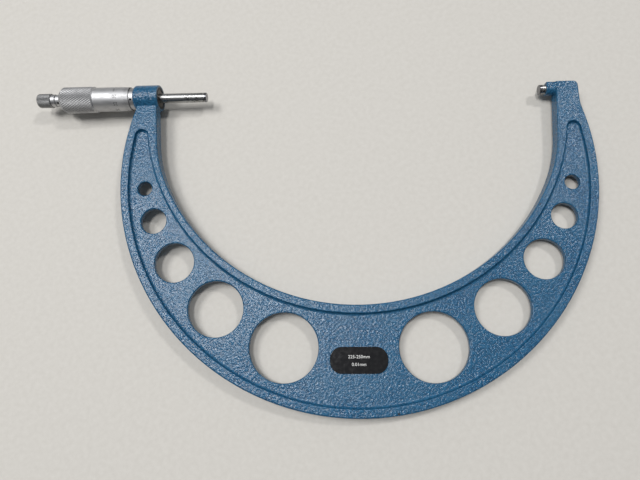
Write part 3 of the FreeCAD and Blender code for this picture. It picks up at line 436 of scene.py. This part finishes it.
# ---------------------------------------------------------------- materials
class Material:
    """A procedural material: a principled shader, and short ways to add nodes to it."""

    def __init__(self, name, metallic, roughness):
        self.data = bpy.data.materials.new(name)
        self.data.use_nodes = True
        self.tree = self.data.node_tree
        self.shader = next(n for n in self.tree.nodes if n.type == "BSDF_PRINCIPLED")
        self.set("Metallic", metallic)
        self.set("Roughness", roughness)
        self.place = self.tree.nodes.new("ShaderNodeTexCoord").outputs["Object"]

    def set(self, socket, value):
        """Sets a number or colour on the shader, or links a node's output to it."""
        if isinstance(value, bpy.types.NodeSocket):
            self.tree.links.new(value, self.shader.inputs[socket])
        else:
            self.shader.inputs[socket].default_value = value

    def cover(self, mask, colour):
        """Lays a colour over the base colour so far, where the mask is 1."""
        before = self.shader.inputs["Base Color"].links[0].from_socket
        self.set("Base Color", self.blend(mask, before, colour))

    def add(self, kind, inputs, **settings):
        """A node of this kind with its inputs set or linked."""
        node = self.tree.nodes.new(kind)
        for key, value in settings.items():
            setattr(node, key, value)
        for key, value in inputs.items():
            if isinstance(value, bpy.types.NodeSocket):
                self.tree.links.new(value, node.inputs[key])
            else:
                node.inputs[key].default_value = value
        return node

    def math(self, operation, first, second=0.0, clamp=False):
        node = self.add("ShaderNodeMath", {0: first, 1: second}, operation=operation)
        node.use_clamp = clamp
        return node.outputs[0]

    def between(self, value, low, high, low_to=0.0, high_to=1.0):
        """The value's place between low and high, held to that range."""
        inputs = {"Value": value, "From Min": low, "From Max": high, "To Min": low_to, "To Max": high_to}
        return self.add("ShaderNodeMapRange", inputs).outputs["Result"]

    def blend(self, factor, first, second):
        """A colour between two colours."""
        node = self.add("ShaderNodeMix", {0: factor}, data_type="RGBA")
        for socket, value in ((6, first), (7, second)):
            if isinstance(value, bpy.types.NodeSocket):
                self.tree.links.new(value, node.inputs[socket])
            else:
                node.inputs[socket].default_value = (*value, 1.0)
        return node.outputs[2]

    def stretched(self, scale):
        """The place on the surface, with each axis multiplied."""
        inputs = {0: self.place, 1: scale}
        return self.add("ShaderNodeVectorMath", inputs, operation="MULTIPLY").outputs[0]

    def noise(self, size, detail=2.0, stretch=(1, 1, 1), distortion=0.0):
        """Noise from 0 to 1 with features of about this size in metres."""
        inputs = {
            "Vector": self.stretched(stretch),
            "Scale": 1 / size,
            "Detail": detail,
            "Distortion": distortion,
        }
        return self.add("ShaderNodeTexNoise", inputs).outputs[0]

    def cells(self, size):
        """Smooth round dimples of about this size in metres."""
        inputs = {"Vector": self.place, "Scale": 1 / size}
        return self.add("ShaderNodeTexVoronoi", inputs, feature="SMOOTH_F1").outputs["Distance"]

    def axis(self, name):
        return self.add("ShaderNodeSeparateXYZ", {0: self.place}).outputs[name]

    def radius(self):
        """Distance from the measuring axis."""
        y, z = self.axis("Y"), self.axis("Z")
        return self.math("SQRT", self.math("ADD", self.math("MULTIPLY", y, y), self.math("MULTIPLY", z, z)))

    def bump(self, height, depth):
        """Bump of a real depth in metres."""
        inputs = {"Height": height, "Distance": depth, "Strength": 1.0}
        self.set("Normal", self.add("ShaderNodeBump", inputs).outputs[0])


def hammertone_enamel():
    """Glossy blue enamel with a hammered surface, chips on the rims down to dark metal, and near-black painted
    shade on the machined ring at the boss's front end.
    """
    paint = Material("hammertone_enamel", 0.0, 0.3)
    dimples = paint.cells(1.25 * MM)
    ripple = paint.noise(1.0 * MM, detail=2.0, distortion=0.8)
    height = paint.math("ADD", dimples, ripple)
    cloud = paint.noise(22 * MM, detail=3.0)
    grain = paint.between(paint.noise(0.6 * MM, detail=2.0), 0.36, 0.64, -0.3, 0.3)
    mottle = paint.math("ADD", paint.between(height, 0.6, 1.15), grain, clamp=True)
    colour = paint.blend(mottle, (0.006, 0.050, 0.112), (0.020, 0.118, 0.236))
    colour = paint.blend(paint.between(cloud, 0.35, 0.75, 0.0, 0.4), colour, (0.026, 0.120, 0.215))
    end_shade = boss_front_end(paint)

    rim_start = FRAME_TOP_Z - 0.9 * MM
    on_rim = paint.between(paint.math("ABSOLUTE", paint.axis("Z")), rim_start, rim_start + 0.6 * MM)
    specks = paint.between(paint.noise(3.2 * MM, detail=4.0), 0.735, 0.75)
    chips = paint.math("MULTIPLY", specks, on_rim)
    chips_and_end_shade = paint.math("MAXIMUM", chips, end_shade)
    # chips on the rims show dark metal; the ring at the boss's front end is painted near black as shade
    paint.set("Base Color", paint.blend(chips_and_end_shade, colour, (0.012, 0.014, 0.018)))
    gloss = paint.between(cloud, 0.3, 0.8, 0.17, 0.25)
    paint.set("Roughness", paint.math("ADD", gloss, paint.math("MULTIPLY", chips_and_end_shade, 0.4)))
    paint.bump(height, 0.26 * MM)
    return paint.data


def boss_front_end(paint):
    """1 on the machined ring at the front end of the spindle's boss, which is painted near black as shade, else 0.
    """
    x = paint.axis("X")
    at_front = paint.math(
        "MULTIPLY",
        paint.math("GREATER_THAN", x, BOSS_FRONT_X - 0.1 * MM),
        paint.math("LESS_THAN", x, BOSS_FRONT_X + 0.1 * MM),
    )
    return paint.math("MULTIPLY", at_front, paint.math("LESS_THAN", paint.radius(), BARE_RING_RADIUS))


def turned_metal(name, colour, roughness, line_size=0.12 * MM, dirt=0.25):
    """Metal with the fine rings that turning or grinding leaves, stains and handling marks."""
    metal = Material(name, 1.0, roughness)
    rings = metal.noise(line_size, detail=2.0, stretch=(1, 0.02, 0.02))
    smear = metal.noise(6 * MM, detail=5.0, distortion=0.5)
    spots = metal.between(metal.noise(1.1 * MM, detail=3.0), 0.62, 0.72)
    dull = tuple(c * 0.62 for c in colour)
    tone = metal.blend(metal.between(smear, 0.35, 0.75, 0.0, dirt), colour, dull)
    tone = metal.blend(metal.math("MULTIPLY", spots, dirt), tone, tuple(c * 0.35 for c in colour))
    metal.set("Base Color", tone)
    rough = metal.between(smear, 0.3, 0.8, roughness * 0.85, roughness * 1.3)
    metal.set("Roughness", metal.math("ADD", rough, metal.math("MULTIPLY", rings, 0.06)))
    metal.bump(rings, 0.004 * MM)
    return metal


def satin_chrome():
    """The sleeve's and neck's satin chrome, with near-black painted shade in the two holes for a hook spanner."""
    metal = turned_metal("satin_chrome", (0.50, 0.50, 0.505), 0.40, dirt=0.2)
    sleeve_hole = inside_hole(metal, SLEEVE_SPANNER_X, SLEEVE_SPANNER_DIRECTION)
    neck_hole = inside_hole(metal, NECK_SPANNER_X, NECK_SPANNER_DIRECTION)
    # painted shade: the two spanner holes are coloured near black
    metal.cover(metal.math("MAXIMUM", sleeve_hole, neck_hole), (0.004, 0.004, 0.004))
    return metal.data


def inside_hole(metal, x, direction):
    """1 within a spanner hole that runs out from the measuring axis, else 0."""
    along = metal.math("SUBTRACT", metal.axis("X"), x)
    y, z = metal.axis("Y"), metal.axis("Z")
    across = metal.math(
        "SUBTRACT",
        metal.math("MULTIPLY", y, math.sin(direction)),
        metal.math("MULTIPLY", z, math.cos(direction)),
    )
    squares = metal.math(
        "ADD", metal.math("MULTIPLY", along, along), metal.math("MULTIPLY", across, across)
    )
    near = metal.math("LESS_THAN", squares, (SPANNER_HOLE_RADIUS + 0.03 * MM) ** 2)
    return metal.math("MULTIPLY", near, metal.math("GREATER_THAN", z, 0.0))


def knurled_chrome():
    """The thimble's satin chrome, with painted shade in the valleys of its knurl and at its mouth."""
    metal = turned_metal("knurled_chrome", (0.54, 0.54, 0.545), 0.50, dirt=0.2)
    x = metal.axis("X")
    behind_ramp = metal.math("LESS_THAN", x, KNURL_FRONT_X - KNURL_STANDS_OUT)
    before_chamfer = metal.math("GREATER_THAN", x, THIMBLE_REAR_X + REAR_CHAMFER_LENGTH)
    valley = metal.between(
        metal.radius(), KNURL_RADIUS - KNURL_DEPTH, KNURL_RADIUS - 0.45 * KNURL_DEPTH, 0.5, 0.0
    )
    painted_shade = metal.math("MULTIPLY", valley, metal.math("MULTIPLY", behind_ramp, before_chamfer))
    mouth = metal.between(x, MOUTH_X - 0.3 * MM, MOUTH_X - 0.1 * MM, 0.0, 0.9)
    painted_shade = metal.math("MAXIMUM", painted_shade, mouth)
    # painted shade: near black in the knurl's valleys and on the end of the mouth
    metal.cover(painted_shade, (0.03, 0.03, 0.03))
    return metal.data


def ratchet_steel():
    return turned_metal("ratchet_steel", (0.31, 0.31, 0.31), 0.45, dirt=0.5).data


def oiled_steel():
    """The fixed sleeve's steel, brown with oil at the boss's end. It is painted black under the
    outer sleeve, which stands in for the deep shade seen through the spanner hole."""
    metal = turned_metal("oiled_steel", (0.13, 0.12, 0.11), 0.4, dirt=0.6)
    under_sleeve = metal.math("LESS_THAN", metal.axis("X"), SLEEVE_HIGH.x)
    metal.cover(under_sleeve, (0.006, 0.006, 0.006))
    return metal.data


def turned_steel():
    return turned_metal("turned_steel", (0.46, 0.46, 0.46), 0.30).data


def spring_steel():
    return turned_metal("spring_steel", (0.28, 0.28, 0.30), 0.35).data


def brass():
    return turned_metal("turned_brass", (0.66, 0.47, 0.20), 0.30).data


def carbide():
    return turned_metal("lapped_carbide", (0.22, 0.22, 0.23), 0.22, dirt=0.4).data


def ground_steel():
    """Ground steel, bright at the guide and stained by handling towards the measuring face."""
    metal = turned_metal("ground_steel", (0.44, 0.44, 0.43), 0.26, dirt=0.45)
    x = metal.axis("X")
    near_face = metal.between(x, SPINDLE_FACE_X - 22 * MM, SPINDLE_FACE_X - 4 * MM)
    blotch = metal.between(metal.noise(1.7 * MM, detail=4.0, distortion=0.8), 0.50, 0.62)
    stain = metal.math("MULTIPLY", blotch, near_face)
    metal.cover(stain, (0.05, 0.045, 0.04))
    return metal.data


def black_enamel():
    """The black of the plates, with a soft gloss and a little dust."""
    black = Material("black_enamel", 0.0, 0.1)
    dust = black.noise(2.5 * MM, detail=5.0)
    dusty = black.between(dust, 0.45, 0.8, 0.0, 0.5)
    black.set("Base Color", black.blend(dusty, (0.006, 0.006, 0.007), (0.018, 0.018, 0.018)))
    black.set("Roughness", black.between(dust, 0.3, 0.8, 0.08, 0.18))
    black.bump(black.noise(0.9 * MM, detail=2.0), 0.006 * MM)
    return black.data


def ink(name, colour, worn_colour, size, fully_worn_at):
    """Matt ink in the marks, a little worn."""
    paint = Material(name, 0.0, 0.5)
    wear_pattern = paint.noise(size, detail=3.0)
    worn = paint.between(wear_pattern, 0.4, fully_worn_at)
    paint.set("Base Color", paint.blend(worn, colour, worn_colour))
    paint.bump(wear_pattern, 0.003 * MM)
    return paint.data


def black_ink():
    return ink("black_ink", (0.015, 0.015, 0.016), (0.07, 0.07, 0.07), 0.5 * MM, 0.75)


def white_ink():
    return ink("white_ink", (0.80, 0.80, 0.78), (0.55, 0.55, 0.53), 0.6 * MM, 0.8)


def pale_floor():
    card = Material("pale_card", 0.0, 0.75)
    fibre = card.noise(3 * MM, detail=4.0)
    shade = card.between(fibre, 0.3, 0.7)
    card.set("Base Color", card.blend(shade, (0.585, 0.560, 0.515), (0.625, 0.600, 0.555)))
    card.bump(fibre, 0.02 * MM)
    return card.data


def dress(pieces):
    """Every material made once and put on its nodes and pieces."""
    looks = {
        "hammertone_blue": hammertone_enamel(),
        "ground_steel": ground_steel(),
        "carbide": carbide(),
        "satin_chrome": satin_chrome(),
        "ratchet_steel": ratchet_steel(),
        "turned_steel": turned_steel(),
        "spring_steel": spring_steel(),
        "brass": brass(),
        "black_plate": black_enamel(),
    }
    for part in frame["record"]["subparts"]:
        wear(frame["nodes"][part["node"]], looks[part["material_slot"]])
    wear(frame["nodes"]["inner_sleeve"], oiled_steel())
    wear(pieces["thimble"], knurled_chrome())
    wear(pieces["knob"], looks["ratchet_steel"])
    black = black_ink()
    wear(pieces["thimble_scale"], black)
    wear(pieces["sleeve_scale"], black)
    wear(pieces["lettering"], white_ink())


def wear(piece, material):
    """Puts one material on every slot of a piece."""
    if not piece.material_slots:
        piece.data.materials.append(material)
    for slot in piece.material_slots:
        slot.material = material


# ---------------------------------------------------------------- stage
def resting_plane():
    """The level that the tool lies on, turned into its own frame: the side of its convex hull
    that its centre of mass is over, as a point and an upward normal."""
    hull = bmesh.new()
    weight = 0.0
    moment = Vector()
    for node in frame["nodes"].values():
        hull.from_mesh(node.data)
        node.data.calc_loop_triangles()
        for triangle in node.data.loop_triangles:
            a, b, c = (node.data.vertices[i].co for i in triangle.vertices)
            volume = a.dot(b.cross(c)) / 6
            weight += volume
            moment += volume * (a + b + c) / 4
    middle = moment / weight
    bmesh.ops.remove_doubles(hull, verts=hull.verts, dist=0.01 * MM)
    result = bmesh.ops.convex_hull(hull, input=hull.verts)
    sides = [f for f in result["geom"] if isinstance(f, bmesh.types.BMFace) and f.normal.z < -0.9]
    under = min(sides, key=lambda f: distance_outside(f, middle))
    point, normal = under.verts[0].co.copy(), -under.normal
    hull.free()
    return point, normal


def distance_outside(side, point):
    """How far the point lies outside a hull side, seen from above: 0 or less when over it."""
    corners = [v.co.xy for v in side.verts]
    centre = sum(corners, Vector((0, 0))) / len(corners)
    worst = -math.inf
    for first, second in zip(corners, corners[1:] + corners[:1]):
        along = second - first
        if along.length < 1e-9:
            continue
        across = Vector((along.y, -along.x)).normalized()
        if across.dot(centre - first) > 0:
            across.negate()
        worst = max(worst, across.dot(point.xy - first))
    return worst


def floor():
    """A plain card that the tool lies on."""
    point, normal = resting_plane()
    turn = normal.to_track_quat("Z", "Y").to_matrix().to_4x4()
    mesh = bpy.data.meshes.new("floor")
    half = FLOOR_SIZE / 2
    grid = bmesh.new()
    bmesh.ops.create_grid(grid, x_segments=FLOOR_STEPS, y_segments=FLOOR_STEPS, size=half)
    grid.to_mesh(mesh)
    grid.free()
    piece = bpy.data.objects.new("floor", mesh)
    bpy.context.scene.collection.objects.link(piece)
    piece.matrix_world = Matrix.Translation(point) @ turn
    piece.data.materials.append(pale_floor())


def lamp(name, place, aim, width, length, power):
    """A soft rectangular light, with its long side along X, that shines at a point."""
    data = bpy.data.lights.new(name, "AREA")
    data.shape = "RECTANGLE"
    data.size = length
    data.size_y = width
    data.energy = power
    light = bpy.data.objects.new(name, data)
    bpy.context.scene.collection.objects.link(light)
    light.location = place
    light.rotation_euler = (aim - Vector(place)).to_track_quat("-Z", "Y").to_euler()


def lights():
    """Three soft lamps over the tool, and the room around it."""
    middle = (CAD_BOX[0] + CAD_BOX[1]) / 2
    lamp("overhead", (-0.50, 0.00, 2.2), middle, 0.25, 0.5, 16)
    lamp("back_right", (1.16, 1.06, 2.2), middle, 0.3, 0.3, 17)
    lamp("left", (-1.38, 0.50, 2.2), middle, 0.8, 0.8, 28)
    room()


def room():
    """Soft light from above and behind the open throat, and little from the near side."""
    world = bpy.data.worlds.new("room")
    world.use_nodes = True
    tree = world.node_tree
    place = tree.nodes.new("ShaderNodeTexCoord")
    lean = tree.nodes.new("ShaderNodeVectorMath")
    lean.operation = "DOT_PRODUCT"
    lean.inputs[1].default_value = (-0.12, 0.45, 0.88)
    ramp = tree.nodes.new("ShaderNodeMapRange")
    ramp.inputs["From Min"].default_value = -0.2
    ramp.inputs["From Max"].default_value = 1.0
    ramp.inputs["To Min"].default_value = 0.05
    ramp.inputs["To Max"].default_value = 0.34
    background = tree.nodes["Background"]
    background.inputs["Color"].default_value = (0.92, 0.95, 1.0, 1.0)
    tree.links.new(place.outputs["Generated"], lean.inputs[0])
    tree.links.new(lean.outputs["Value"], ramp.inputs["Value"])
    tree.links.new(ramp.outputs["Result"], background.inputs["Strength"])
    bpy.context.scene.world = world


def camera():
    """The photo's camera, solved on the frame's arcs and holes."""
    data = bpy.data.cameras.new("camera")
    data.lens = CAMERA_LENS_MM
    data.clip_start = 0.01
    eye = bpy.data.objects.new("camera", data)
    bpy.context.scene.collection.objects.link(eye)
    eye.location = CAMERA_PLACE
    eye.rotation_euler = Euler([math.radians(a) for a in CAMERA_TILT], "XYZ")
    bpy.context.scene.camera = eye


dress(
    {
        "thimble": thimble(),
        "knob": ratchet_knob(),
        "thimble_scale": thimble_scale(),
        "sleeve_scale": sleeve_scale(),
        "lettering": plate_lettering(),
    }
)
floor()
lights()
camera()
bpy.context.scene.view_settings.view_transform = "Standard"
